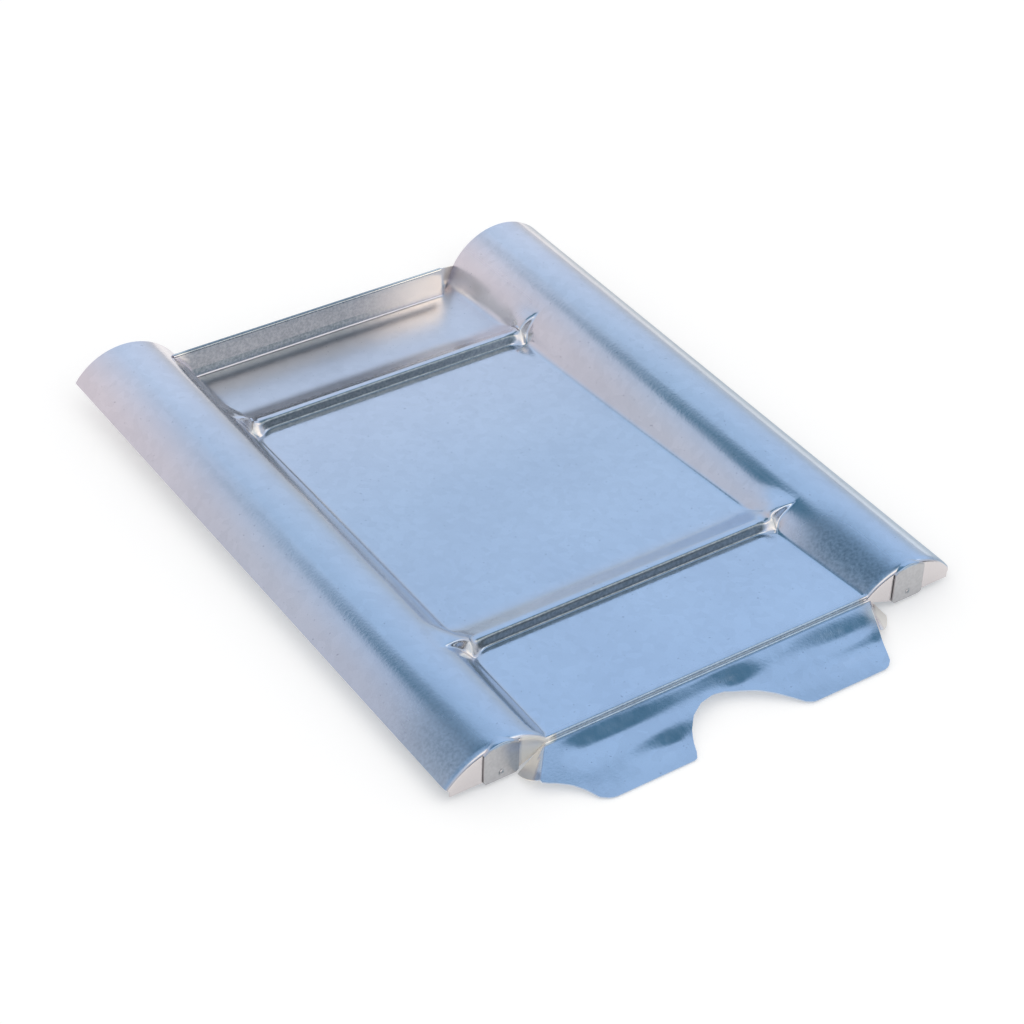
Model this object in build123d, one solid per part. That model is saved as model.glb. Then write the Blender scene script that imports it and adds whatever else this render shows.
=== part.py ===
from build123d import *
import math
import os

# Roof tile of galvanised steel, pressed and folded from one sheet.
# Millimetres: +X across the roof, +Y up the slope to the head, +Z away from the roof.
# While it is drawn, the pan's upper face is z = 0 and the nose fold is y = 0.

# Sheet and folds
sheet = 0.8
fold_radius = 1.2
fold_lap = 1.0

# Pan and side ribs: the ribs rise from the pan towards the head
tile_width = 318.0
rib_length = 379.0
rib_width_nose = 59.0
rib_width_head = 67.5
foot_strip = 3.0
crest_inset = 31.0
crest_height_nose = 10.5
crest_height_head = 28.5
edge_level_nose = -5.0
edge_level_head = 13.0

# Pressed beads across the pan, steep towards the nose, with a pucker at each end
lower_bead_place = 72.5
upper_bead_setback = 81.0
bead_height = 5.5
bead_width = 20.0
bead_draft = 1.2
bead_crest = 3.5
bead_foot_radius = 1.5
bead_crest_radius = 1.8
pucker_radius = 19.0
pucker_rise = 3.2
pucker_climb = 10.0

# Upstand at the head, with its hem turned down towards the nose and its right corner turned back
upstand_setback = 13.0
upstand_height = 20.5
hem_gap = 1.6
hem_depth = 13.0
hem_left_reach = 1.0
hem_right_gap = 14.0
corner_gap = 12.0
corner_level = 8.5

# Nose: a small riser, then the apron that slopes down in a shallow S
riser_height = 2.6
riser_run = 0.8
brow_reach = 13.0
brow_drop = 4.6
bend_reach = 28.0
bend_drop = 11.6
apron_reach = 40.0
apron_drop = 14.0
apron_bend_radius = 14.0

# Outline of the apron: two teeth, a round notch between them and a wing at each end
teeth_shift = -3.0
tooth_inset = 10.0
tooth_corner_radius = 3.0
root_flare = 2.0
waist_inset = 3.0
waist_reach = 23.0
waist_radius = 12.0
notch_mouth = 70.0
notch_floor = 26.0
notch_floor_reach = 11.0
notch_corner_radius = 15.0
wing_flare = 10.5
wing_reach = 11.5
wing_drop = 13.0

# Caps that close the ribs at the nose: a folded plate with a clinched tab over it
cap_drop = 10.0
cap_end_gap = 1.0
tab_width = 20.0
tab_drop = 11.5
clinch_radius = 1.3
clinch_height = 0.4
clinch_from_edge = 3.5

half_width = tile_width / 2
crest_place = half_width - crest_inset
upper_bead_place = rib_length - upper_bead_setback
upstand_place = rib_length - upstand_setback
overrun = 20.0

# The flat pan ends where the nose fold and the upstand's fold begin
pan_nose = 2 * (fold_radius + sheet)
pan_head = upstand_place - fold_radius
turn_level = upstand_height - sheet - hem_gap / 2


def along(y, nose, head):
    """A size that runs straight from its nose value to its head value."""
    return nose + (head - nose) * y / rib_length


def pan_half(y):
    return half_width - along(y, rib_width_nose, rib_width_head)


def rib_arc(y):
    """The rib's round at one place: from the pan's foot over the crest to the side edge."""
    foot = (pan_half(y), 0)
    crest = (crest_place, along(y, crest_height_nose, crest_height_head))
    edge = (half_width, along(y, edge_level_nose, edge_level_head))
    return ThreePointArc(foot, crest, edge)


# The die's end sections lie past the ends of the sheet, and its base below the ribs' centres
stations = (-overrun, rib_length + overrun)
standing = (Align.CENTER, Align.CENTER, Align.MIN)
die_depth = overrun - min(rib_arc(y).arc_center.Y for y in stations)


def rib_block(side, inset):
    """The rib as a slender cone that runs along the tile."""
    nose, head = [rib_arc(y) for y in stations]
    start = Vector(side * nose.arc_center.X, stations[0], nose.arc_center.Y)
    end = Vector(side * head.arc_center.X, stations[1], head.arc_center.Y)
    cone = Cone(nose.radius - inset, head.radius - inset, (end - start).length, align=standing)
    return Plane(origin=start, z_dir=end - start) * cone


def slab(low, high):
    """A box between two corners."""
    return Pos(*low) * Box(*[b - a for a, b in zip(low, high)], align=(Align.MIN, Align.MIN, Align.MIN))


def pan_block(inset):
    """The pan between two ribs, with a sloped strip along each foot."""
    depth = die_depth - inset
    centre = Pos(0, rib_length / 2, -inset - depth / 2)
    block = centre * Box(2 * crest_place, rib_length + overrun, depth)
    for side in (-1, 1):
        block += rib_block(side, inset)
    middle = rib_length / 2
    feet = [block.edges().sort_by_distance((side * pan_half(middle), middle, -inset))[0] for side in (-1, 1)]
    return chamfer(feet, foot_strip + inset / 3)


def bead_profile(foot):
    """The bead's section along the slope, on the pan beside it."""
    crest_start = foot + bead_draft
    crest_end = crest_start + bead_crest
    back_foot = foot + bead_width
    face = make_face(Polyline(
        (foot - bead_width, -die_depth),
        (foot - bead_width, 0),
        (foot, 0),
        (crest_start, bead_height),
        (crest_end, bead_height),
        (back_foot, 0),
        (back_foot + bead_width, 0),
        (back_foot + bead_width, -die_depth),
        close=True,
    ))
    feet = [face.vertices().sort_by_distance((y, 0, 0))[0] for y in (foot, back_foot)]
    face = fillet(feet, bead_foot_radius)
    crests = [face.vertices().sort_by_distance((y, bead_height, 0))[0] for y in (crest_start, crest_end)]
    return fillet(crests, bead_crest_radius)


def pucker(foot, side, inset):
    """The bulge that a bead makes on the rib's flank: steep towards the nose, fading towards the head."""
    front = foot + bead_draft / 2 + inset
    arc = rib_arc(front)
    spot = arc @ (pucker_climb / arc.length)
    out = (spot - arc.arc_center).normalized()
    middle = spot + out * (pucker_rise - pucker_radius)
    blunt = pucker_radius - inset
    bulge = Cone(blunt, blunt - 2 * pucker_rise, 2 * bead_width, align=standing)
    return Plane(origin=(side * middle.X, front, middle.Y), z_dir=(0, 1, 0)) * bulge


def bead_block(foot, inset):
    """One bead from rib to rib, with the pucker where it runs into each rib."""
    profile = Plane.YZ * offset(bead_profile(foot), -inset)
    block = extrude(profile, amount=crest_place, both=True)
    return block + pucker(foot, -1, inset) + pucker(foot, 1, inset)


def die(inset):
    """The block that the sheet is pressed over, with its skin set in."""
    block = pan_block(inset)
    for foot in (lower_bead_place, upper_bead_place):
        block += bead_block(foot, inset)
    return block


def corner_line():
    """The top of the upstand's right corner: from the wall back and down to the end of the rib."""
    arc = rib_arc(rib_length)
    rise = corner_level - arc.arc_center.Y
    flank = arc.arc_center.X - math.sqrt(arc.radius**2 - rise**2)
    wall_end = pan_half(upstand_place) - corner_gap
    return Vector(wall_end, upstand_place, turn_level), Vector(flank, rib_length - sheet, corner_level)


def blank():
    """The room that the pressed sheet is trimmed to, seen from above."""
    floor = edge_level_nose - overrun / 2
    top = crest_height_head + overrun
    room = slab((-half_width, -sheet, floor), (half_width, rib_length, top))
    for side in (-1, 1):
        middle = side * crest_place
        room += slab((middle - tab_width / 2, -2 * sheet, floor), (middle + tab_width / 2, 0, top))
    nose = pan_half(0) - foot_strip - sheet
    room -= slab((-nose, -2 * sheet, floor), (nose, pan_nose, top))
    left, right = foot_strip + sheet - pan_half(upstand_place), corner_line()
    behind_upstand = make_face(Polyline(
        (left, pan_head),
        (right[0].X, pan_head),
        (right[0].X, right[0].Y + sheet),
        (right[1].X, right[1].Y + sheet),
        (right[1].X, rib_length + overrun),
        (left, rib_length + overrun),
        close=True,
    ))
    return room - extrude(Pos(0, 0, floor) * behind_upstand, amount=top - floor)


def folded(path, left, right):
    """Sheet folded along a path over its upper face, drawn in Y and Z, and spread from left to right."""
    section = make_face(offset(path, sheet, side=Side.RIGHT))
    return Pos(left, 0, 0) * extrude(Plane.YZ * section, amount=right - left)


def plate(*corners):
    """Flat sheet between corners, with its middle layer on them."""
    return extrude(make_face(Polyline(*corners, close=True)), amount=sheet / 2, both=True)


def upstand():
    """The wall at the head, the hem along its top and the right corner that is turned back to the rib."""
    start = Line((pan_head - fold_lap, 0), (pan_head, 0))
    fold = JernArc(start @ 1, start % 1, fold_radius, 90)
    wall = Line(fold @ 1, (upstand_place, turn_level))
    turn = JernArc(wall @ 1, wall % 1, hem_gap / 2, 180)
    hem = Line(turn @ 1, (upstand_place - hem_gap, upstand_height - hem_depth))
    wall_end, rib_end = corner_line()
    plain = folded(Curve() + [start, fold, wall], -crest_place, wall_end.X + sheet / 2)
    plain -= rib_block(-1, sheet / 2)
    middle = Vector(0, sheet / 2, 0)
    below = Vector(0, 0, -sheet)
    corner = plate(
        Vector(wall_end.X, wall_end.Y, 0) + middle + below,
        wall_end + middle,
        rib_end + middle,
        Vector(rib_end.X, rib_end.Y, 0) + middle + below,
    )
    corner -= rib_block(1, sheet / 2)
    edge = pan_half(upstand_place)
    rolled = folded(Curve() + [start, fold, wall, turn, hem], -edge - hem_left_reach, edge - hem_right_gap)
    return plain + corner + rolled


def apron_outline():
    """The apron seen from above."""
    root = pan_half(0)
    joint = root - foot_strip - sheet
    tooth = root - tooth_inset
    rounded = [
        ((root - waist_inset, -waist_reach), waist_radius),
        ((tooth, -apron_reach), tooth_corner_radius),
        ((notch_mouth / 2, -apron_reach), tooth_corner_radius),
        ((notch_floor / 2, -notch_floor_reach), notch_corner_radius),
    ]
    right = [(joint, pan_nose + fold_lap), (joint, 0), (root + root_flare, -sheet)]
    left = [(-x, y) for x, y in reversed(right)]
    right += [(teeth_shift + x, y) for (x, y), radius in rounded]
    left = [(teeth_shift - x, y) for (x, y), radius in reversed(rounded)] + left
    face = make_face(Polyline(*right, *left, close=True))
    for (x, y), radius in rounded:
        corners = [face.vertices().sort_by_distance((teeth_shift + side * x, y, 0))[0] for side in (-1, 1)]
        face = fillet(corners, radius)
    return face


def wing(side):
    """A small flap turned down beside the apron's root, in two facets."""
    slope = (bend_drop - brow_drop) / (bend_reach - brow_reach)
    waist_drop = brow_drop + slope * (waist_reach - brow_reach)
    root, waist = pan_half(0) + root_flare, pan_half(0) - waist_inset
    brow = root + (waist - root) * (brow_reach - sheet) / (waist_reach - sheet)
    upper = (side * (root - sheet), -sheet, -riser_height - sheet / 2)
    middle = (side * (brow - sheet) + teeth_shift / 2, -brow_reach, -brow_drop - sheet / 2)
    lower = (side * (waist - sheet) + teeth_shift, -waist_reach, -waist_drop - sheet / 2)
    tip = (side * (pan_half(0) + wing_flare) + teeth_shift, -wing_reach, -wing_drop)
    outlines = [Polyline(upper, middle, tip, close=True), Polyline(middle, lower, tip, close=True)]
    facets = [make_face(outline).face() for outline in outlines]
    normals = [facet.normal_at() for facet in facets]
    through = normals[0] + normals[1] * math.copysign(1, normals[0].dot(normals[1]))
    flaps = [extrude(facet, amount=sheet / 2, dir=through, both=True) for facet in facets]
    return flaps[0] + flaps[1]


def apron():
    """Riser, apron and wings at the nose."""
    path = FilletPolyline(
        (pan_nose + fold_lap, 0),
        (0, 0),
        (-riser_run, -riser_height),
        (-brow_reach, -brow_drop),
        (-bend_reach, -bend_drop),
        (-apron_reach - fold_lap, -apron_drop),
        radius=[fold_radius + sheet, fold_radius, apron_bend_radius, apron_bend_radius],
    )
    path = Curve() + [edge.reversed() for edge in reversed(path.edges())]
    strip = folded(path, -crest_place, crest_place)
    tall = extrude(Pos(0, 0, -2 * apron_drop) * apron_outline(), amount=4 * apron_drop)
    return (strip & tall) + wing(-1) + wing(1)


def cap(side, core):
    """The folded lid under the rib's nose edge, the tab over it and the tab's clinched dot."""
    inner, outer = pan_half(0) - foot_strip - 2 * sheet, half_width - cap_end_gap
    top = crest_height_nose + overrun
    low_x, high_x = sorted((side * inner, side * outer))
    lid = core & slab((low_x, -sheet, -cap_drop), (high_x, 0, top))
    middle = side * crest_place
    tab = core & slab((middle - tab_width / 2, -2 * sheet, -tab_drop), (middle + tab_width / 2, -sheet, top))
    dot_place = (middle, -2 * sheet - clinch_height / 2, clinch_from_edge - tab_drop)
    dot = Pos(*dot_place) * Rot(90, 0, 0) * Cylinder(clinch_radius, clinch_height)
    return lid + tab + dot


tile = (die(0) - die(sheet)) & blank()
tile += upstand()
tile += apron()
core = pan_block(sheet / 2)
for side in (-1, 1):
    tile += cap(side, core)

# The finished tile stands with its lowest edge at z = 0, centred on the origin
box = tile.bounding_box()
tile = Pos(-box.center().X, -box.center().Y, -box.min.Z) * tile

os.makedirs("parts", exist_ok=True)
export_step(tile, "parts/tile_sheet.step")
print("tile", box.size, "volume", tile.volume)
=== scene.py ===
# %% [markdown]
# # A pressed metal roof tile
# The tile is one sheet of galvanised steel: a flat pan between two half-round ribs, two beads pressed
# across it, a hemmed upstand at its head and a toothed apron at its nose. It could be put together from
# separate plates and tubes, but a workshop presses and folds it from one flat blank. This lesson does the
# same: it lays out grids, moves their points to where the press and the folding bench would, welds them,
# and gives the result the sheet's thickness.

import math

import bmesh
import bpy
from mathutils import Matrix, Vector, noise


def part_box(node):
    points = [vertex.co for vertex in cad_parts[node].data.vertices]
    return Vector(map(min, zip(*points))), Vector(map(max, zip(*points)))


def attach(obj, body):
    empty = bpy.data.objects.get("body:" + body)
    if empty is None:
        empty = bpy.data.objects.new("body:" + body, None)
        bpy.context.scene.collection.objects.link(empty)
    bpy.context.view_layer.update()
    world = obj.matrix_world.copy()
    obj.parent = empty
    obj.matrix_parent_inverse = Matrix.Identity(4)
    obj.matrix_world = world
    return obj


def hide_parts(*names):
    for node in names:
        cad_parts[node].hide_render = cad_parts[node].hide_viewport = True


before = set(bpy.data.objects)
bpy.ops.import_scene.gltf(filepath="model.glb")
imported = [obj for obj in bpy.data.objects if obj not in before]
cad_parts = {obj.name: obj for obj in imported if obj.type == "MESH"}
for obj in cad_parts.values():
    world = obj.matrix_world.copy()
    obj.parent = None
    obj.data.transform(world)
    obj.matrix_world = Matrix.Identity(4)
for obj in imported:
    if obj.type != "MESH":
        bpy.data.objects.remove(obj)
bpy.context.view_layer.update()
low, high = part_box("tile_sheet")
print("tile box", [round(c, 4) for c in low], [round(c, 4) for c in high])

# %% [markdown]
# ## Sizes
# The drawing is in millimetres, measured from the nose fold and from the pan's upper face, because that is
# how a sheet metal worker measures it. The frame is in metres, so each point of the drawing is moved over
# when a grid is made. Overall sizes come from the frame's box, and only what the box can't tell is written
# here.

# %% Sizes of the sheet
mm = 0.001
sheet = 0.8
apron_reach = 40.0
pan_rise = 14.67
half_width = high.x / mm
rib_length = (high.y - low.y) / mm - apron_reach
nose_place = low.y / mm + apron_reach
pan_place = low.z / mm + pan_rise
print("ribs", round(rib_length, 1), "mm long, tile", round(2 * half_width, 1), "mm wide")

# %% [markdown]
# ## The ribs' arch
# Each side of the tile is a half-round rib that rises and widens from the nose to the head, like a slender
# cone. It could be a cone cut in half, but then its foot and its side edge would be hard to place. A circle
# through the foot, the crest and the side edge gives the arch at each end of the tile instead, and every
# arch between the ends is a straight mix of both, as on a cone.

# %% The arch
crest_inset = 31.0
crest_place = half_width - crest_inset
foot_round = 5.0


def circle_through(a, b, c):
    """Centre and radius of the circle through three points."""
    squares = [p.length_squared for p in (a, b, c)]
    turn = 2 * (a.x * (b.y - c.y) + b.x * (c.y - a.y) + c.x * (a.y - b.y))
    x = (squares[0] * (b.y - c.y) + squares[1] * (c.y - a.y) + squares[2] * (a.y - b.y)) / turn
    y = (squares[0] * (c.x - b.x) + squares[1] * (a.x - c.x) + squares[2] * (b.x - a.x)) / turn
    return x, y, math.hypot(a.x - x, a.y - y)


def arch(rib_width, crest_height, edge_level):
    """The arch of a rib, from the pan over the crest to the side edge."""
    foot = Vector((half_width - rib_width, 0))
    crest = Vector((crest_place, crest_height))
    return circle_through(foot, crest, Vector((half_width, edge_level)))


nose_arch = arch(rib_width=59.0, crest_height=10.5, edge_level=-5.0)
head_arch = arch(rib_width=67.5, crest_height=28.5, edge_level=13.0)


def mix(a, b, share):
    """The value at a share of the way from one value to another."""
    return a + (b - a) * share


def arch_at(y):
    """Centre, radius and the lean of the flank where the foot's round meets it."""
    x, z, radius = [mix(nose, head, y / rib_length) for nose, head in zip(nose_arch, head_arch)]
    lean = math.acos((foot_round - z) / (radius + foot_round))
    return x, z, radius, lean


def pan_edge(y):
    """Half the flat pan's width."""
    x, _, radius, lean = arch_at(y)
    return x - (radius + foot_round) * math.sin(lean)


print("pan edge", round(pan_edge(0), 1), "mm at the nose,", round(pan_edge(rib_length), 1), "mm at the head")

# %% [markdown]
# ## Lines along the tile
# Across the tile the sheet runs flat over the pan, turns up in a small round at the foot and arches over
# the rib to the side edge. Points at even steps across would drift off these bends where the ribs widen.
# Points at fixed shares of each stretch give lines that follow the bends from nose to head, which is what
# the long reflections in the metal need.

# %% The section and its lines
pan_steps, foot_steps, rib_steps = 96, 6, 26


def skin(line, y):
    """A point of the plain section, its direction out of the sheet and its way up from the pan's edge."""
    zone, side, share = line
    x, z, radius, lean = arch_at(y)
    edge = pan_edge(y)
    if zone == "pan":
        return Vector((edge * share, y, 0)), Vector((0, 0, 1)), edge * (abs(share) - 1)
    if zone == "foot":
        turn = lean * share
        point = Vector((edge + foot_round * math.sin(turn), y, foot_round * (1 - math.cos(turn))))
        out = Vector((-math.sin(turn), 0, math.cos(turn)))
        climb = foot_round * turn
    else:
        turn = mix(-lean, math.asin((half_width - x) / radius), share)
        point = Vector((x + radius * math.sin(turn), y, z + radius * math.cos(turn)))
        out = Vector((math.sin(turn), 0, math.cos(turn)))
        climb = foot_round * lean + radius * (turn + lean)
    point.x *= side
    out.x *= side
    return point, out, climb


pan_lines = [("pan", 1, 2 * i / pan_steps - 1) for i in range(pan_steps + 1)]
rise_lines = [("foot", 1, (i + 1) / foot_steps) for i in range(foot_steps)]
rise_lines += [("rib", 1, (i + 1) / rib_steps) for i in range(rib_steps)]
fall_lines = [(zone, -1, share) for zone, side, share in reversed(rise_lines)]
lines = fall_lines + pan_lines + rise_lines
print("lines across", len(lines))

# %% [markdown]
# ## Bent outlines
# Sheet metal never turns on a sharp corner, and its beads and folds have a small round at each bend. A
# Bevel modifier could round them later, but it would change the points that neighbouring grids share. So an
# outline is written with sharp corners, each corner is cut back and bent round, and long stretches get
# points in between.

# %% Rounded outlines
bend_steps = 5


def rounded(outline, setbacks, steps=bend_steps):
    """Points along a bent outline, with each corner cut back and rounded."""
    corners = [Vector(p) for p in outline]
    points = [corners[0]]
    for before, corner, after, setback in zip(corners, corners[1:], corners[2:], setbacks):
        start = corner + (before - corner).normalized() * setback
        end = corner + (after - corner).normalized() * setback
        for i in range(steps + 1):
            t = i / steps
            points.append(start.lerp(corner, t).lerp(corner.lerp(end, t), t))
    return points + [corners[-1]]


def filled(points, gap):
    """The same outline with points added where two are further apart than the gap."""
    out = [points[0]]
    for a, b in zip(points, points[1:]):
        count = max(1, math.ceil((b - a).length / gap))
        out += [a.lerp(b, (i + 1) / count) for i in range(count)]
    return out


bead_height = 5.5
bead_outline = [(-6, 0), (0, 0), (1.2, bead_height), (4.7, bead_height), (20, 0), (27, 0)]
bead_setbacks = [1.2, 1.6, 1.7, 5.0]
bead_gap = 2.0
bead_points = filled(rounded(bead_outline, bead_setbacks), bead_gap)
print("bead outline", len(bead_points), "points,", bead_height, "mm high")

# %% [markdown]
# ## Beads and puckers
# Two beads stiffen the pan. Each has a steep face towards the nose and a long slope behind. Where a bead
# runs into a rib, the sheet has nowhere to go and bulges up the flank in a pucker: steep in front like the
# bead, and fading behind. A height map would smear the steep face, so each row of points carries its own
# place along the tile, its lift, and its shares of the pucker and of the ramp in front of it.

# %% Rows along the tile
lower_bead, upper_bead = 72.5, rib_length - 81.0
beads = (lower_bead, upper_bead)
front_end, pucker_tail = 2.0, 25.0
fold_start = 3.2
pan_gap, head_gap = 5.0, 4.0


def ease(share):
    """A share from 0 to 1 that starts and ends gently."""
    share = min(max(share, 0.0), 1.0)
    return share * share * (3 - 2 * share)


def bead_rows(foot):
    """Place, lift of the pan and shares of the pucker and of its ramp for each row over a bead."""
    over = []
    for point in bead_points:
        bulge, ramp = ease(1 - (point.x - front_end) / pucker_tail), 0.0
        if point.x < front_end:
            bulge = point.y / bead_height
            ramp = min(1 - bulge, 1 - point.x / bead_outline[0][0])
        over.append((foot + point.x, point.y, bulge, ramp))
    return over


def plain_rows(start, end, gap):
    """Rows without any lift, up to but without the end."""
    count = max(1, round((end - start) / gap))
    return [(mix(start, end, i / count), 0.0, 0.0, 0.0) for i in range(count)]


first, last = bead_outline[0][0], bead_outline[-1][0]
head_start = upper_bead + last
rows = plain_rows(fold_start, lower_bead + first, pan_gap) + bead_rows(lower_bead)[:-1]
rows += plain_rows(lower_bead + last, upper_bead + first, pan_gap) + bead_rows(upper_bead)[:-1]
rows += plain_rows(head_start, rib_length, head_gap) + [(rib_length, 0.0, 0.0, 0.0)]
print("rows along", len(rows))

# %% [markdown]
# ## The head's outline
# At the head the pan ends at the upstand's fold, while the ribs run on a little, and the pan's right corner
# is turned back to the rib's end. The sheet could be pressed too long and cut off with a Boolean, but that
# leaves ragged faces. Here each line simply stops where the real sheet does, and the last rows spread out
# to fit.

# %% Where the lines stop
upstand_place = rib_length - 13.0
wall_fold = 1.2
corner_place = 79.8
corner_end = rib_length - wall_fold - sheet


def corner_share(share):
    """How far a share of the pan's width lies in the corner that is turned back, from 0 to 1."""
    corner = corner_place / pan_edge(upstand_place)
    return max(0.0, (share - corner) / (1 - corner))


def line_end(line):
    """Where a line of the pressed sheet stops at the head."""
    zone, side, share = line
    fold = upstand_place - wall_fold
    if zone == "pan":
        return mix(fold, corner_end, corner_share(share))
    if zone == "foot":
        return mix(fold if side < 0 else corner_end, rib_length, share)
    return rib_length


print("pan stops at", round(line_end(pan_lines[0]), 1), "and", round(line_end(pan_lines[-1]), 1), "mm")

# %% [markdown]
# ## Pressing the sheet
# The press lifts the sheet over the beads, and crumples it a little at the puckers. Sculpting would give
# the crumples too, but could not be repeated. So the points of one grid are moved by rule: up to the bead's
# height with a soft corner at the flank, out along the flank for the pucker, and by a little noise near
# each pucker. The noise has a seed, so every run crumples the sheet alike.

# %% The pressed grid
pucker_rise, pucker_climb, pucker_spread = 4.8, 9.5, 13.0
ramp_reach, ramp_climb, ramp_spread = 4.5, 1.0, 5.0
flank_round = 1.5
crumple_size, crumple_grain, crumple_seed = 1.2, 0.17, 3
crumple_climb, crumple_behind, crumple_reach = 2.0, 2.0, 6.0


def spot(x, y, middle_x, middle_y, wide, long):
    """1 in the middle of a spot, fading to 0 around it."""
    return math.exp(-(((x - middle_x) / wide) ** 2) - ((y - middle_y) / long) ** 2)


def crumple(point, climb, place):
    """How far crumpled metal is pushed at the ends of the beads."""
    push = Vector((0, 0, 0))
    for foot in beads:
        near = spot(climb, place, crumple_climb, foot + crumple_behind, crumple_reach, crumple_reach)
        push += noise.noise_vector(point * crumple_grain) * crumple_size * near
    return push


def higher(level, lift, soft):
    """The higher of two levels, with the corner between them rounded."""
    gap = abs(level - lift)
    return max(level, lift) + ((soft - gap) ** 2 / soft / 4 if gap < soft else 0.0)


def pressed(line, row):
    """A point of the pressed sheet."""
    place, lift, bulge, ramp = row
    y = place
    if place > head_start:
        y = mix(head_start, line_end(line), (place - head_start) / (rib_length - head_start))
    point, out, climb = skin(line, y)
    if ramp > 0:
        forward = ramp_reach * ramp * math.exp(-(((climb - ramp_climb) / ramp_spread) ** 2))
        point, out, climb = skin(line, y - forward)
    if abs(point.x) < crest_place:
        point.z = higher(point.z, lift, flank_round * lift / bead_height)
    swell = math.cos(math.pi / 2 * min(1.0, abs(climb - pucker_climb) / pucker_spread)) ** 2
    point += out * (pucker_rise * bulge * swell)
    return point + crumple(point, climb, place)


def at(point):
    """A point of the drawing as a point of the frame."""
    return Vector((point.x, point.y + nose_place, point.z + pan_place)) * mm


def grid(bm, columns, levels, place):
    """A grid of columns by levels, with each point moved to its place."""
    wide, long = len(columns) - 1, len(levels) - 1
    for vert in bmesh.ops.create_grid(bm, x_segments=wide, y_segments=long, size=1)["verts"]:
        column = columns[round((vert.co.x + 1) / 2 * wide)]
        level = levels[round((vert.co.y + 1) / 2 * long)]
        vert.co = at(place(column, level))


noise.seed_set(crumple_seed)
tile = bmesh.new()
grid(tile, lines, rows, pressed)
print("pressed grid", len(tile.faces), "faces")

# %% [markdown]
# ## The upstand's wall
# At the head the pan is folded up into a wall that keeps rain out. On the left it runs on to the rib's
# flank, and on the right its corner is turned back to the rib's end. Extruding the pan's last row would do
# for a plain wall, but these ends have to follow the round flanks, so the wall's points are worked out from
# the same arch.

# %% A point of the wall
turn_level, corner_level = 18.9, 9.5
fan_start = -0.8


def flank_reach(y, z):
    """How far the rib's flank has moved out from the pan's edge at a level."""
    x, centre, radius, lean = arch_at(y)
    if z < foot_round * (1 - math.cos(lean)):
        return math.sqrt(max(0.0, 2 * foot_round * z - z * z))
    return x - math.sqrt(radius**2 - (z - centre) ** 2) - pan_edge(y)


def wall_point(line, level):
    """A point of the wall, by its share of the wall's height."""
    share = line[2]
    end = line_end(line) + wall_fold
    back = corner_share(share)
    fan = max(0.0, (fan_start - share) / (1 + fan_start))
    height = mix(turn_level, corner_level, back) * level
    x = pan_edge(end) * share + (back - fan) * (flank_reach(end, height) + sheet / 2)
    return Vector((x, end, height))


wall_ends = [round(wall_point(line, 1.0).x, 1) for line in (pan_lines[0], pan_lines[-1])]
print("wall top ends at", wall_ends, "mm")

# %% [markdown]
# ## Fold and hem
# The wall's top is turned over towards the nose into an open hem, which stiffens it. A curve with a bevel
# could make the hem, but as a piece of its own it would show a seam. The wall and the hem are grids that
# take their first row from the pressed sheet and from the wall, so that all weld into one skin later.

# %% The upstand's grids
hem_round, hem_low, hem_right = 0.8, 7.5, 77.8


def upstand(line, step):
    """A point of the fold, the wall, the turn at its top or the hem, by its share of that stretch."""
    kind, share = step
    if kind == "fold" and share == 0:
        return pressed(line, rows[-1])
    if kind == "fold":
        turn = math.pi / 2 * share
        point = wall_point(line, wall_fold * (1 - math.cos(turn)) / turn_level)
        return point - Vector((0, wall_fold * (1 - math.sin(turn)), 0))
    if kind == "wall":
        return wall_point(line, mix(wall_fold / turn_level, 1.0, share))
    if kind == "turn":
        turn = math.pi * share
        over = Vector((0, hem_round * (math.cos(turn) - 1), hem_round * math.sin(turn)))
        return wall_point(line, 1.0) + over
    height = mix(turn_level, hem_low, share)
    return wall_point(line, height / turn_level) - Vector((0, 2 * hem_round, 0))


def stretch(kind, count):
    """The steps over one stretch of a folded strip, without its first point."""
    return [(kind, (i + 1) / count) for i in range(count)]


wall_steps = [("fold", 0.0)] + stretch("fold", 4) + stretch("wall", 7)
hem_steps = [("wall", 1.0)] + stretch("turn", 8) + stretch("hem", 5)
hem_lines = [line for line in pan_lines if wall_point(line, 1.0).x <= hem_right]
grid(tile, pan_lines, wall_steps, upstand)
grid(tile, hem_lines, hem_steps, upstand)
print("upstand added, faces now", len(tile.faces))

# %% [markdown]
# ## The apron's outlines
# In front of the nose fold the sheet drops over a small riser and slopes down to two teeth with a round
# notch between them. A pointed corner stands out at its left, and its sides sweep in to the teeth. The
# outline could be cut from a plain strip with a Boolean. Here it is kept as short tables of places, read
# off in between, so that the grid's last rows can lie on it and the cut edge comes out clean.

# %% Slope, teeth and sides
apron_path = [(fold_start, 0), (0, 0), (-0.8, -2.6), (-13, -6.1), (-28, -10.6), (-41, -13.9)]
apron_setbacks = [1.4, 0.9, 4.0, 4.0]
apron_bend_steps, apron_gap = 6, 1.5
apron_points = filled(rounded(apron_path, apron_setbacks, apron_bend_steps), apron_gap)
riser_end, riser_margin = -2.5, 2.0
tooth_line = [
    (-95, -36.6), (-94, -38.4), (-92, -39.5), (-89, -39.9), (-41, -39.9), (-38.5, -38.8), (-36.5, -33),
    (-32, -25), (-26, -18.5), (-18, -14), (-9, -12.2), (-2, -12.8), (5, -15.5), (13, -20), (21, -26),
    (28, -32.5), (32, -36.6), (36, -38.3), (88, -38.4), (92, -37.9), (94, -36.8), (95, -35)]
left_side = [
    (4, 98), (-0.8, 102), (-9, 109), (-16.6, 116), (-18.4, 115.5), (-21, 110), (-25, 103.6), (-30, 99),
    (-36, 95.6), (-40, 92.5)]
right_side = [(4, 98), (-0.8, 102), (-8, 98.5), (-19, 94.2), (-26, 91.3), (-34, 88), (-40, 85.5)]


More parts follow.
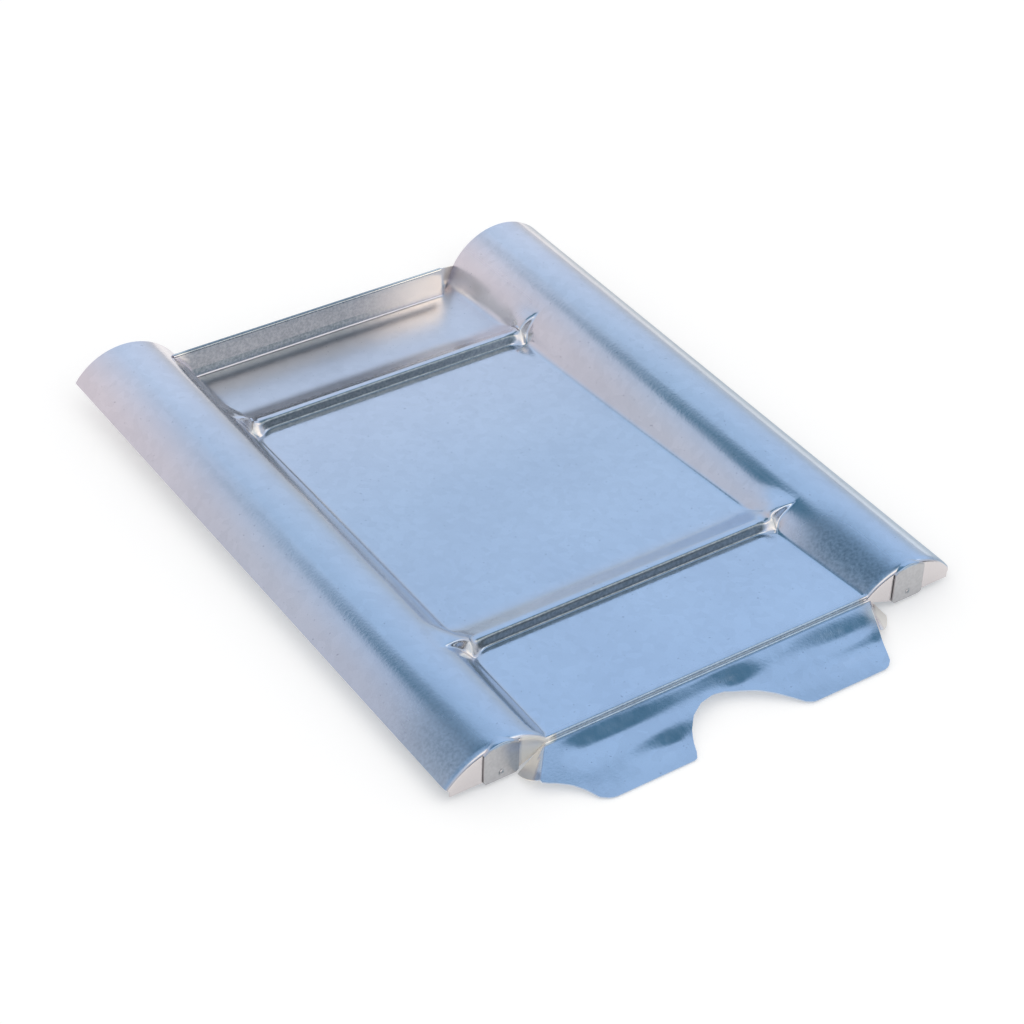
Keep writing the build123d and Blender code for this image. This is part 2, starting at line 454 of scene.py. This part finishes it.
def along(table, place):
    """The value of an outline, given as pairs, at one place."""
    pairs = sorted(table)
    for (a, low_value), (b, high_value) in zip(pairs, pairs[1:]):
        if place <= b:
            return mix(low_value, high_value, max(0.0, (place - a) / (b - a)))
    return pairs[-1][1]


slope_table = [(p.x, p.y) for p in apron_points if p.x <= riser_end + riser_margin]


def apron_drop(y):
    """The level of the plain slope."""
    return along(slope_table, y)


print("apron drops", round(apron_drop(-apron_reach), 1), "mm, notch at", along(tooth_line, 0), "mm")

# %% [markdown]
# ## The apron's relief
# A hand-bent apron is nearly even, with a few shallow dents and slow waves that draw long streaks in its
# reflections. A bump in the finish would shade them but leave the cut edge straight, so the points
# themselves move. The relief fades out towards the riser and the sides, where the bends hold the sheet
# stiff.

# %% Waves and dents
wave_size, wave_across, wave_down, wave_slice = 0.5, 0.016, 0.055, 3.1
relief_start, wave_growth, relief_growth = 2.0, 8.0, 3.0
stiff_side, stiff_reach = 100.0, 12.0
apron_dents = [
    ((-70, -10.5, 34, 5.5), 1.4), ((-46, -27, 16, 5.5), 1.5), ((5, -13, 14, 6.5), 1.7),
    ((70, -12.5, 28, 5.5), 1.4), ((74, -23, 32, 5), 1.3)]


def apron_relief(x, y):
    """How far the waves and dents move the apron up or down."""
    wave = noise.noise(Vector((x * wave_across, y * wave_down, wave_slice)))
    relief = wave_size * ease((-y - relief_start) / wave_growth) * wave
    for place, depth in apron_dents:
        relief -= depth * spot(x, y, *place)
    stiff = ease((stiff_side - abs(x)) / stiff_reach)
    return relief * ease((-y - relief_start) / relief_growth) * stiff


print("relief at the dents", [round(apron_relief(*place[:2]), 2) for place, depth in apron_dents], "mm")

# %% [markdown]
# ## Folding the apron
# The apron is folded from the same sheet as the pan, so its grid takes its first row from the pressed
# sheet. Its lines run on from the pan's lines, draw in to the teeth's width, and the outermost ones follow
# the sides' sweep. At each end of the root a small three-cornered flap with a rounded edge is turned down.
# A flap has few points, so it is a small grid of its own between its root and its free edge.

# %% The apron's grids
apron_half, narrowing = 94.0, 12.0
side_zone = 0.2
tooth_level = sheet - pan_rise + 0.02
same_place = 1e-6
flap_steps = 6


def apron(line, step):
    """A point of the riser or of the slope below it."""
    kind, share = step
    across = line[2]
    if kind == "riser":
        y, z = share
    else:
        y = mix(riser_end, along(tooth_line, across * tooth_line[-1][0]), share)
        z = apron_drop(y)
    if y > fold_start - same_place:
        return pressed(line, rows[0])
    plain = mix(pan_edge(fold_start), apron_half, ease(-y / narrowing))
    side = along(left_side if across < 0 else right_side, y)
    sweep = ease((abs(across) - (1 - side_zone)) / side_zone)
    x = across * plain + math.copysign(1, across) * (side - plain) * sweep
    return Vector((x, y, max(z + apron_relief(x, y), tooth_level)))


riser = [("riser", (p.x, p.y)) for p in apron_points if p.x > riser_end]
apron_steps = riser + [("slope", 0.0)] + stretch("slope", 22)
grid(tile, pan_lines, apron_steps[::-1], apron)


def flap(corners, fullness):
    """A three-cornered flap with a rounded free edge: its root and the two ends of that edge."""
    root, far, tip = [Vector(c) for c in corners]

    def point(reach, along_edge):
        edge = far.lerp(tip, along_edge) - root
        return root + edge * reach * (1 + fullness * math.sin(math.pi * along_edge))

    return point


left_flap = flap([(-102, -0.8, -2.6), (-116, -17.2, -7.0), (-119, -3.0, -12.5)], fullness=0.08)
right_flap = flap([(101.5, -1.4, -2.8), (109, -7.0, -12.0), (94.6, -18.4, -7.1)], fullness=0.2)
flap_shares = [i / flap_steps for i in range(flap_steps + 1)]
for one_flap in (left_flap, right_flap):
    grid(tile, flap_shares, flap_shares, one_flap)
print("apron added, faces now", len(tile.faces))

# %% [markdown]
# ## Lids
# Each rib is closed at the nose by a lid that is folded down from the rib's edge over a bright narrow rim.
# Filling the rib's end with one flat face would lose that rim. So a grid takes its upper row from the
# pressed sheet, turns over the rim along the sheet's own direction, and drops straight to the lid's lower
# edge.

# %% The lids' grids
lid_place, lid_low = -0.8, -10.0
inner_low, inner_reach = -3.4, 18.0
rim_reach, rim_drop = fold_start - lid_place, 3.0
tab_half = 10.0


def over_rim(line, turn):
    """A point on the round from the rib's skin down to the lid."""
    point, out, _ = skin(line, fold_start - rim_reach * math.sin(turn))
    return point - out * rim_drop * (1 - math.cos(turn))


def lid(line, step):
    """A point of the rim or of the lid below it."""
    kind, share = step
    if kind == "rim" and share == 0:
        return pressed(line, rows[0])
    if kind == "rim":
        return over_rim(line, math.pi / 2 * share)
    top = over_rim(line, math.pi / 2)
    inner = (crest_place - tab_half - abs(top.x)) / inner_reach
    low_edge = mix(lid_low, inner_low, min(max(inner, 0.0), 1.0))
    return Vector((top.x, lid_place, mix(top.z, low_edge, share)))


lid_steps = [("rim", 0.0)] + stretch("rim", 7) + stretch("drop", 6)
grid(tile, [pan_lines[-1]] + rise_lines, lid_steps[::-1], lid)
grid(tile, fall_lines + [pan_lines[0]], lid_steps[::-1], lid)
print("lids added, faces now", len(tile.faces))

# %% [markdown]
# ## Tabs
# A tab in the middle of each lid is folded over it and clinched to it with one dot. The dot could be a
# small sphere cut out of the tab, but a clinch only pushes the sheet in. So the tab's grid is fine enough
# to carry the dot as a dent, and it lies on the rib, turns over its edge and hangs down in front of the
# lid.

# %% The tabs' grids
tab_low, tab_round, tab_lift, tab_arch = -11.3, 1.1, 0.3, 2.3
back_reach = 0.8
corner_rise, corner_zone = 1.4, 0.2
dot_level, dot_radius, dot_depth = -7.0, 1.6, 0.8
tab_columns = 36


def tab_on(side):
    """The way to place a tab's points on the left or the right rib."""
    crest = side * crest_place

    def tab(across, step):
        kind, share = step
        x = crest + across * tab_half
        y = mix(lid_place, fold_start + back_reach, share) if kind == "back" else lid_place
        centre_x, centre_z, radius, _ = arch_at(y)
        top = centre_z + math.sqrt(radius**2 - (abs(x) - centre_x) ** 2) + tab_lift - tab_arch * across**2
        if kind == "back":
            return Vector((x, y, top - tab_lift * share))
        turn = math.pi / 2 * (share if kind == "round" else 1.0)
        point = Vector((x, lid_place - tab_round * math.sin(turn), top - tab_round * (1 - math.cos(turn))))
        if kind == "drop":
            corner = max(0.0, (abs(across) - (1 - corner_zone)) / corner_zone)
            point.z = mix(point.z, tab_low + corner_rise * corner**2, share)
            from_dot = math.hypot(x - crest, point.z - dot_level)
            point.y += dot_depth * max(0.0, 1 - (from_dot / dot_radius) ** 2)
        return point

    return tab


tab_across = [2 * i / tab_columns - 1 for i in range(tab_columns + 1)]
tab_steps = [("round", 0.0)] + stretch("round", 6) + stretch("drop", 30)
tab_steps = tab_steps[::-1] + stretch("back", 4)
for side in (-1, 1):
    grid(tile, tab_across, tab_steps, tab_on(side))
print("tabs added, faces now", len(tile.faces))

# %% [markdown]
# ## Welding
# On the real tile all these pieces are one sheet. The grids could be joined as they are, but then each
# border would shade as a seam. They meet point on point, so merging doubles makes one skin of them.

# %% One skin
weld_reach = 0.02
loose = len(tile.verts)
bmesh.ops.remove_doubles(tile, verts=tile.verts, dist=weld_reach * mm)
for face in tile.faces:
    face.smooth = True
print("welded", loose - len(tile.verts), "points, skin has", len(tile.verts))

# %% [markdown]
# ## Finding the worn and painted places
# Handling and folding leave the zinc rubbed or matt on certain pieces of the tile, and highlight and shade
# are painted on others. These places could be painted on the finished mesh by hand, but a painted mask stays
# behind when a size changes. Short tests ask on which piece a point of the drawing lies. Most of them move
# with the sizes above, and the next steps use them.

# %% Tests for the pieces
hem_reach, fold_top, flank_gap = 2.5, 1.0, 0.6
front_from, front_to, front_inset = -0.5, 2.2, 3.0
cap_front, cap_back, cap_inner, cap_top = -2.5, 0.5, 96.0, 9.0
flap_inner, flap_drop = 92.0, 1.4
margin = 0.5


def on_upstand(point):
    """Whether a point lies on the wall or the hem at the head."""
    if point.y < upstand_place - hem_reach or point.z < fold_top:
        return False
    return abs(point.x) < pan_edge(point.y) + flank_reach(point.y, point.z) - flank_gap


def on_bead_front(point):
    """Whether a point lies on the steep front of a bead, between its puckers."""
    for foot in beads:
        if foot + front_from < point.y < foot + front_to and abs(point.x) < pan_edge(foot) - front_inset:
            return True
    return False


def on_cap(point):
    """Whether a point lies on a lid, its rim or its tab."""
    return cap_front < point.y < cap_back and abs(point.x) > cap_inner and point.z < cap_top


def on_tab(point):
    """Whether a point lies on the front of a tab."""
    from_crest = abs(abs(point.x) - crest_place)
    return cap_front < point.y < lid_place - tab_round / 2 and from_crest < tab_half + margin


def on_flap(point):
    """Whether a point lies on a flap, well below the apron's slope."""
    return point.y < 0 and abs(point.x) > flap_inner and point.z < apron_drop(point.y) - flap_drop


def on_nose_fold(point):
    """Whether a point lies on the fold between the pan and the apron."""
    return cap_front < point.y < fold_start - margin and abs(point.x) < pan_edge(0)


def on_drawing(vert):
    """A point of the skin as a point of the drawing."""
    return Vector((vert.co.x / mm, vert.co.y / mm - nose_place, vert.co.z / mm - pan_place))


for test in (on_upstand, on_bead_front, on_cap, on_tab, on_flap, on_nose_fold):
    print(test.__name__, sum(test(on_drawing(vert)) for vert in tile.verts), "points")

# %% [markdown]
# ## Bent metal and painted highlight
# Where the sheet is folded or crumpled hard, the zinc is rubbed to a warm grey. On the left lid's inner
# facet, the flaps, the hem's left end and right half, the puckers and one corner of the apron, a bright cream
# highlight is painted into the colour. A second material would end in a hard line there. A share from 0 to 1
# on each point lets the finish fade from one to the other, so this step only says how strongly each point is
# rubbed or painted bright.

# %% Share of bent metal and painted highlight
# Shares up to rubbed give warm grey wear; shares above it paint a bright cream highlight into the colour.
rubbed, bare_highlight = 0.5, 1.0
facet_fade = 3.0
bright_hem, bright_reach = 10.0, 60.0
hem_end, hem_end_fade = -95.0, 4.0
highlight_corner = (100, -9, 6, 7)
pucker_out, pucker_ahead, pucker_wide, pucker_long = 2.0, 1.0, 4.5, 3.5


def towards_ends(x, start):
    """0 in the middle of the hem, rising to 1 at its left end and over its right half."""
    return max(ease((x - start) / bright_reach), ease((hem_end - x) / hem_end_fade))


# Painted highlight on the left lid's inner facet, the flaps, the hem's left end and right half, the puckers
# and one apron corner.
def bent_and_highlight_share(point):
    """How strongly the metal was bent at a point of the drawing, and how much highlight is painted there."""
    across = abs(point.x)
    if on_cap(point):
        inner = crest_place - tab_half - across
        return mix(rubbed, bare_highlight, ease(inner / facet_fade)) if point.x < 0 else rubbed
    if on_flap(point):
        return bare_highlight
    if on_upstand(point):
        return mix(rubbed, bare_highlight, towards_ends(point.x, bright_hem))
    share = max(spot(point.x, point.y, *highlight_corner), rubbed * on_bead_front(point))
    for foot in beads:
        middle = (pan_edge(foot) + pucker_out, foot - pucker_ahead)
        share = max(share, spot(across, point.y, *middle, pucker_wide, pucker_long))
    return share


print("bent points", sum(bent_and_highlight_share(on_drawing(vert)) > rubbed for vert in tile.verts))

# %% [markdown]
# ## Painted shade
# On the hem and the wall behind it, the beads' fronts, the riser, the tabs and parts of the ribs, shade and
# dark reflections are painted into the zinc's colour. Darker lights could give some of it from one side, but
# the tile has to look right all round, so the shade is painted into the metal. Wide soft spots make it fade
# softly.

# %% Share of painted shade
# Painted shade: the hem and the wall in its shadow, the tabs and their dots, the riser, the ribs' flanks and
# right edge, the beads' fronts.
hem_shade, wall_start, wall_fade = 0.75, 1.0, 0.6
hem_shade_start = 5.0
tab_shade, dot_edge = 0.45, 0.2
riser_shade, riser_side, riser_low = 0.6, 98.0, -3.0
right_flank = dict(x=107.0, y=20.0, wide=15.0, long=38.0)
flank_foot = 0.3
left_shade, left_flank = 0.75, (-150, 10, 16, 40)
edge_shade, edge_start, edge_fade = 0.65, 143.0, 8.0
front_shade = 0.95


def right_flank_shade(point):
    """The painted shade on the right rib's flank, which ends quickly along the tile."""
    if point.z <= flank_foot:
        return 0.0
    aside = (point.x - right_flank["x"]) / right_flank["wide"]
    off = (point.y - right_flank["y"]) / right_flank["long"]
    return math.exp(-(aside**2) - off**4)


def painted_shade_share(point):
    """How much shade is painted into the zinc at a point of the drawing."""
    across = abs(point.x)
    if on_upstand(point):
        depth = mix(hem_shade, 1.0, ease((point.y - upstand_place + wall_start) / wall_fade))
        return depth * (1 - towards_ends(point.x, hem_shade_start))
    if on_tab(point):
        from_dot = math.hypot(across - crest_place, point.z - dot_level)
        return tab_shade if from_dot > dot_radius - dot_edge else 1.0
    if point.y < cap_back:
        return riser_shade if across < riser_side and point.z > riser_low else 0.0
    left = left_shade * spot(point.x, point.y, *left_flank)
    edge = edge_shade * ease((point.x - edge_start) / edge_fade)
    return max(right_flank_shade(point), left, edge, front_shade * on_bead_front(point))


print("dull points", sum(painted_shade_share(on_drawing(vert)) > 0.5 for vert in tile.verts))

# %% [markdown]
# ## Frosted metal
# Zinc loses its shine where highlight and shade are painted on it, and between the last bead and the head it
# is frosted. One even roughness would look like paint, so a third share says how matt each point is. All
# three are kept in layers on the skin's points, which the finish reads by name as attributes.

# %% Share of frosted metal and the layers
hem_frost, fold_frost = 0.25, 0.45
head_frost, frost_behind, frost_growth, frost_side = 0.5, 5.0, 8.0, 16.0


def frost_share(point):
    """How matt the zinc is at a point of the drawing."""
    if on_upstand(point):
        return hem_frost
    if on_nose_fold(point) or on_bead_front(point):
        return fold_frost
    head = 0.0
    if abs(point.x) < pan_edge(point.y) + frost_side:
        head = head_frost * ease((point.y - upper_bead - frost_behind) / frost_growth)
    return max(head, painted_shade_share(point), 2 * bent_and_highlight_share(point) - 1)


wear_and_painted_light = {"bent_and_highlight": bent_and_highlight_share, "painted_shade": painted_shade_share, "frost": frost_share}
layers = [(tile.verts.layers.float.new(name), share_of) for name, share_of in wear_and_painted_light.items()]
for vert in tile.verts:
    point = on_drawing(vert)
    for layer, share_of in layers:
        vert[layer] = share_of(point)
print("layers", list(wear_and_painted_light))

# %% [markdown]
# ## Thickness
# The sheet is 0.8 mm thick, and its cut edges show. Offsetting every point by hand would tear at the folds,
# and Blender's Solidify modifier does it evenly. The thickness goes to the back of the skin, so the front
# stays where the drawing has it. Edges that turn sharply are marked, so that the cut edges stay crisp while
# the bends shade smoothly.

# %% One sheet
sharp_turn = math.radians(40)
mesh = bpy.data.meshes.new("tile_skin")
tile.to_mesh(mesh)
tile.free()
skin_piece = bpy.data.objects.new("tile_skin", mesh)
bpy.context.scene.collection.objects.link(skin_piece)
thickness = skin_piece.modifiers.new("sheet_thickness", "SOLIDIFY")
thickness.thickness = sheet * mm
thickness.offset = -1
mesh = bpy.data.meshes.new_from_object(skin_piece.evaluated_get(bpy.context.evaluated_depsgraph_get()))
skin_piece.modifiers.clear()
skin_piece.data = mesh
solid = bmesh.new()
solid.from_mesh(mesh)
for edge in solid.edges:
    edge.smooth = len(edge.link_faces) == 2 and edge.calc_face_angle() < sharp_turn
solid.to_mesh(mesh)
solid.free()
print("sharp edges", sum(edge.use_edge_sharp for edge in mesh.edges), "of", len(mesh.edges))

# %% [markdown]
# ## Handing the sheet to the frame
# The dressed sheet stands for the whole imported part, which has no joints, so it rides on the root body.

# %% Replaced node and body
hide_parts("tile_sheet")
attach(skin_piece, "root")
print("tile skin", len(mesh.polygons), "faces", [round(c, 4) for c in skin_piece.dimensions])

# %% [markdown]
# ## Helpers for finishes
# A finish in Blender is a small network of nodes. Drawing it in the shader editor is quick, but a script
# can be read and run again. These helpers add each kind of node that the finishes and the room need in one
# line.

# %% Node helpers


def node(tree, kind, inputs=None, **settings):
    """A node with its settings made and its sockets set or linked."""
    made = tree.nodes.new(kind)
    for name, value in settings.items():
        setattr(made, name, value)
    for name, value in (inputs or {}).items():
        if isinstance(value, bpy.types.NodeSocket):
            tree.links.new(value, made.inputs[name])
        else:
            made.inputs[name].default_value = value
    return made


def colour_ramp(tree, factor, stops):
    """A colour ramp with its places and colours."""
    made = node(tree, "ShaderNodeValToRGB", {"Fac": factor})
    while len(made.color_ramp.elements) < len(stops):
        made.color_ramp.elements.new(0.5)
    for element, (place, colour) in zip(made.color_ramp.elements, stops):
        element.position = place
        element.color = (*colour, 1)
    return made.outputs["Color"]


def blend(tree, factor, a, b, how="MIX"):
    """Two colours blended by a factor."""
    made = node(tree, "ShaderNodeMix", {"Factor": factor}, data_type="RGBA", blend_type=how)
    for socket, value in ((made.inputs["A"], a), (made.inputs["B"], b)):
        if isinstance(value, bpy.types.NodeSocket):
            tree.links.new(value, socket)
        else:
            socket.default_value = (*value, 1)
    return made.outputs["Result"]


def rescale(tree, value, from_low, from_high, to_low, to_high):
    """A value moved from one range to another."""
    names = ("From Min", "From Max", "To Min", "To Max")
    inputs = dict(zip(names, (from_low, from_high, to_low, to_high)))
    return node(tree, "ShaderNodeMapRange", {"Value": value, **inputs}).outputs["Result"]


def reckon(tree, how, a, b):
    """Two values multiplied, or the larger of them."""
    return node(tree, "ShaderNodeMath", {0: a, 1: b}, operation=how).outputs["Value"]


def cloudy(tree, place, scale, detail):
    """Soft noise from 0 to 1 over the piece."""
    inputs = {"Vector": place, "Scale": scale, "Detail": detail}
    return node(tree, "ShaderNodeTexNoise", inputs).outputs["Fac"]


def finish(name):
    """A new finish with its network and its surface shader."""
    made = bpy.data.materials.new(name)
    made.use_nodes = True
    return made, made.node_tree, made.node_tree.nodes["Principled BSDF"].inputs


print("node helpers ready")

# %% [markdown]
# ## Zinc
# Galvanised steel is a bluish metal with faint cloudy patches, fine zinc flowers and specks of dust, and a
# painted reflection makes it paler and warmer towards the head. A picture of real zinc would stretch over the
# folds. Noise in the piece's own coordinates has no stretch and no seams, and each layer multiplies the
# colour by a little.

# %% Colour of the zinc
zinc, tree, surface = finish("zinc")
place = node(tree, "ShaderNodeTexCoord").outputs["Object"]
lengthwise = node(tree, "ShaderNodeSeparateXYZ", {"Vector": place}).outputs["Y"]
# painted reflection: the base colour pales and warms from nose to head, standing in for the room's gradient
colour = colour_ramp(tree, rescale(tree, lengthwise, low.y, high.y, 0, 1), [
    (0.1, (0.60, 0.69, 0.81)), (0.55, (0.65, 0.70, 0.77)), (0.95, (0.88, 0.83, 0.84))])
flowers = node(tree, "ShaderNodeTexVoronoi", {"Vector": place, "Scale": 210.0}).outputs["Color"]
flowers = node(tree, "ShaderNodeSeparateColor", {"Color": flowers}).outputs["Red"]
white = (1, 1, 1)
marks = [
    (cloudy(tree, place, 16.0, 6.0), [(0.3, (0.93, 0.93, 0.94)), (0.7, white)]),
    (flowers, [(0, (0.95, 0.95, 0.95)), (1, white)]),
    (cloudy(tree, place, 560.0, 1.0), [(0.72, white), (0.79, (0.76, 0.76, 0.78))])]
for pattern, stops in marks:
    colour = blend(tree, 1.0, colour, colour_ramp(tree, pattern, stops), "MULTIPLY")
print("zinc colour in", len(marks), "layers over its base")

# %% [markdown]
# ## Worn zinc, painted highlight and painted shade
# The three shares on the points now change the finish: rubbed metal turns warm grey and a painted highlight
# makes it bright cream, painted shade darkens it with a grainy pattern, and frosted metal gets rougher.
# Elsewhere the roughness has fine streaks along the rolling direction. A very shallow bump keeps the wide pan
# from looking like plastic, where real relief would cost far too many points.

# %% Wear, painted highlight and shade, shine and bump
bends_and_highlight, painted_shade_fac, frosted = [
    node(tree, "ShaderNodeAttribute", attribute_name=name).outputs["Fac"] for name in wear_and_painted_light]
# rubbed warm grey rising to a painted bright cream highlight
rubbed_and_highlight_colour = colour_ramp(tree, bends_and_highlight, [(rubbed, (0.68, 0.64, 0.64)), (bare_highlight, (0.92, 0.86, 0.78))])
colour = blend(tree, rescale(tree, bends_and_highlight, 0, rubbed, 0, 1), colour, rubbed_and_highlight_colour)
grain = cloudy(tree, place, 620.0, 3.0)
# painted shade: a grainy dark colour multiplied into the zinc where the shade share is high
painted_shade_colour = colour_ramp(tree, grain, [(0.35, (0.30, 0.39, 0.43)), (0.65, (0.50, 0.60, 0.64))])
colour = blend(tree, painted_shade_fac, colour, painted_shade_colour, "MULTIPLY")
rolled = node(tree, "ShaderNodeMapping", {"Vector": place, "Scale": (260.0, 9.0, 260.0)}).outputs["Vector"]
polish = rescale(tree, cloudy(tree, rolled, 1.0, 4.0), 0.3, 0.7, 0.11, 0.20)
bump = node(tree, "ShaderNodeBump", {"Height": grain, "Strength": 0.10, "Distance": 0.0003}).outputs["Normal"]
surface["Metallic"].default_value = 1.0
tree.links.new(colour, surface["Base Color"])
tree.links.new(rescale(tree, frosted, 0, 1, polish, 0.48), surface["Roughness"])
tree.links.new(bump, surface["Normal"])
mesh.materials.append(zinc)
print("finish", zinc.name, "with", len(tree.nodes), "nodes")

# %% [markdown]
# ## Floor
# The tile lies on white paper and touches it with the apron's teeth and the underside of the pan at the
# head. The tile stays level in its frame, so the paper is tilted under it instead. A little glow, for the
# camera and for mirror and clear rays only, makes it as white as in a studio, also in the metal's
# reflections, without more light on the tile.

# %% White paper
floor_half = 6
paper_glow = 0.30
rest_run = high.y - low.y - (rib_length - upstand_place) * mm
rest_slope = math.atan2((pan_rise - sheet) * mm, rest_run)
floor_bm = bmesh.new()
bmesh.ops.create_grid(floor_bm, x_segments=1, y_segments=1, size=floor_half)
bmesh.ops.rotate(floor_bm, verts=floor_bm.verts, cent=(0, 0, 0), matrix=Matrix.Rotation(rest_slope, 3, "X"))
bmesh.ops.translate(floor_bm, verts=floor_bm.verts, vec=(0, 0, low.z - low.y * math.tan(rest_slope)))
floor_mesh = bpy.data.meshes.new("floor")
floor_bm.to_mesh(floor_mesh)
floor_bm.free()
floor = bpy.data.objects.new("floor", floor_mesh)
bpy.context.scene.collection.objects.link(floor)
paper, tree, surface = finish("white_paper")
surface["Base Color"].default_value = (0.80, 0.80, 0.80, 1)
surface["Roughness"].default_value = 0.9
surface["Emission Color"].default_value = (1, 1, 1, 1)
ray = node(tree, "ShaderNodeLightPath").outputs
through = reckon(tree, "MAXIMUM", ray["Is Glossy Ray"], ray["Is Transmission Ray"])
seen = reckon(tree, "MAXIMUM", ray["Is Camera Ray"], through)
tree.links.new(reckon(tree, "MULTIPLY", seen, paper_glow), surface["Emission Strength"])
floor_mesh.materials.append(paper)
print("floor slope", round(math.degrees(rest_slope), 2), "degrees")

# %% [markdown]
# ## Light
# Bare zinc shows the room it stands in. Lamps alone would leave it black between their reflections, so the
# world is a soft bluish room that mirror rays see: paler at the left, with two dark patches overhead, a
# bright panel high in front of the nose and a narrow dark zone low in front. Everything else gets plain
# neutral light.

# %% The room
left_way, front_way = (-0.77, 0.62, 0.15), (0.49, -0.87, 0.0)
neutral, pale, patch = (0.9, 0.9, 0.9), (0.72, 0.70, 0.76), (0.10, 0.22, 0.32)
panel, dark = (1.5, 1.45, 1.38), (0.05, 0.05, 0.05)
world = bpy.data.worlds.new("studio")
bpy.context.scene.world = world
world.use_nodes = True
room = world.node_tree
towards = node(room, "ShaderNodeTexCoord").outputs["Generated"]
height = node(room, "ShaderNodeSeparateXYZ", {"Vector": towards}).outputs["Z"]
sky = colour_ramp(room, height, [
    (0.0, (0.62, 0.64, 0.68)), (0.10, (0.57, 0.63, 0.71)), (0.35, (0.60, 0.73, 0.93)),
    (0.60, (0.59, 0.75, 0.98)), (0.75, (0.53, 0.70, 0.93)), (1.0, (0.50, 0.66, 0.88))])


def facing(direction, start, end):
    """How far a ray goes towards a side of the room, from 0 to 1."""
    along_way = node(room, "ShaderNodeVectorMath", {0: towards, 1: direction}, operation="DOT_PRODUCT")
    return rescale(room, along_way.outputs["Value"], start, end, 0, 1)


sky = blend(room, facing(left_way, 0.35, 0.95), sky, pale)
sky = blend(room, facing((-0.062, 0.353, 0.934), 0.9455, 0.968), sky, patch)
sky = blend(room, facing((0.369, -0.172, 0.914), 0.9455, 0.9816), sky, patch)
high_up = rescale(room, height, 0.45, 0.55, 0, 1)
sky = blend(room, reckon(room, "MULTIPLY", facing(front_way, 0.45, 0.65), high_up), sky, panel)
low_down = rescale(room, height, 0.26, 0.12, 0, 0.95)
sky = blend(room, reckon(room, "MULTIPLY", facing(front_way, 0.78, 0.93), low_down), sky, dark)
mirrored = node(room, "ShaderNodeLightPath").outputs["Is Glossy Ray"]
room.links.new(blend(room, mirrored, neutral, sky), room.nodes["Background"].inputs["Color"])
print("room", len(room.nodes), "nodes")

# %% [markdown]
# ## Camera
# The picture was taken from above the left of the nose with a long lens, held slightly askew. A camera that
# tracks an empty would do, but a place, an aim and a roll in the drawing's own measures can be read and
# changed.

# %% The camera
lens, roll = 88.1, math.radians(1.62)
eye, aim = at(Vector((-640.3, -724.3, 791.0))), at(Vector((-11.4, 159.4, 0)))
camera_data = bpy.data.cameras.new("camera")
camera_data.lens = lens
camera = bpy.data.objects.new("camera", camera_data)
bpy.context.scene.collection.objects.link(camera)
turn = (aim - eye).to_track_quat("-Z", "Y").to_matrix().to_4x4()
camera.matrix_world = Matrix.Translation(eye) @ turn @ Matrix.Rotation(roll, 4, "Z")
bpy.context.scene.camera = camera
bpy.context.scene.view_settings.view_transform = "Standard"
print("camera", [round(c, 3) for c in eye])
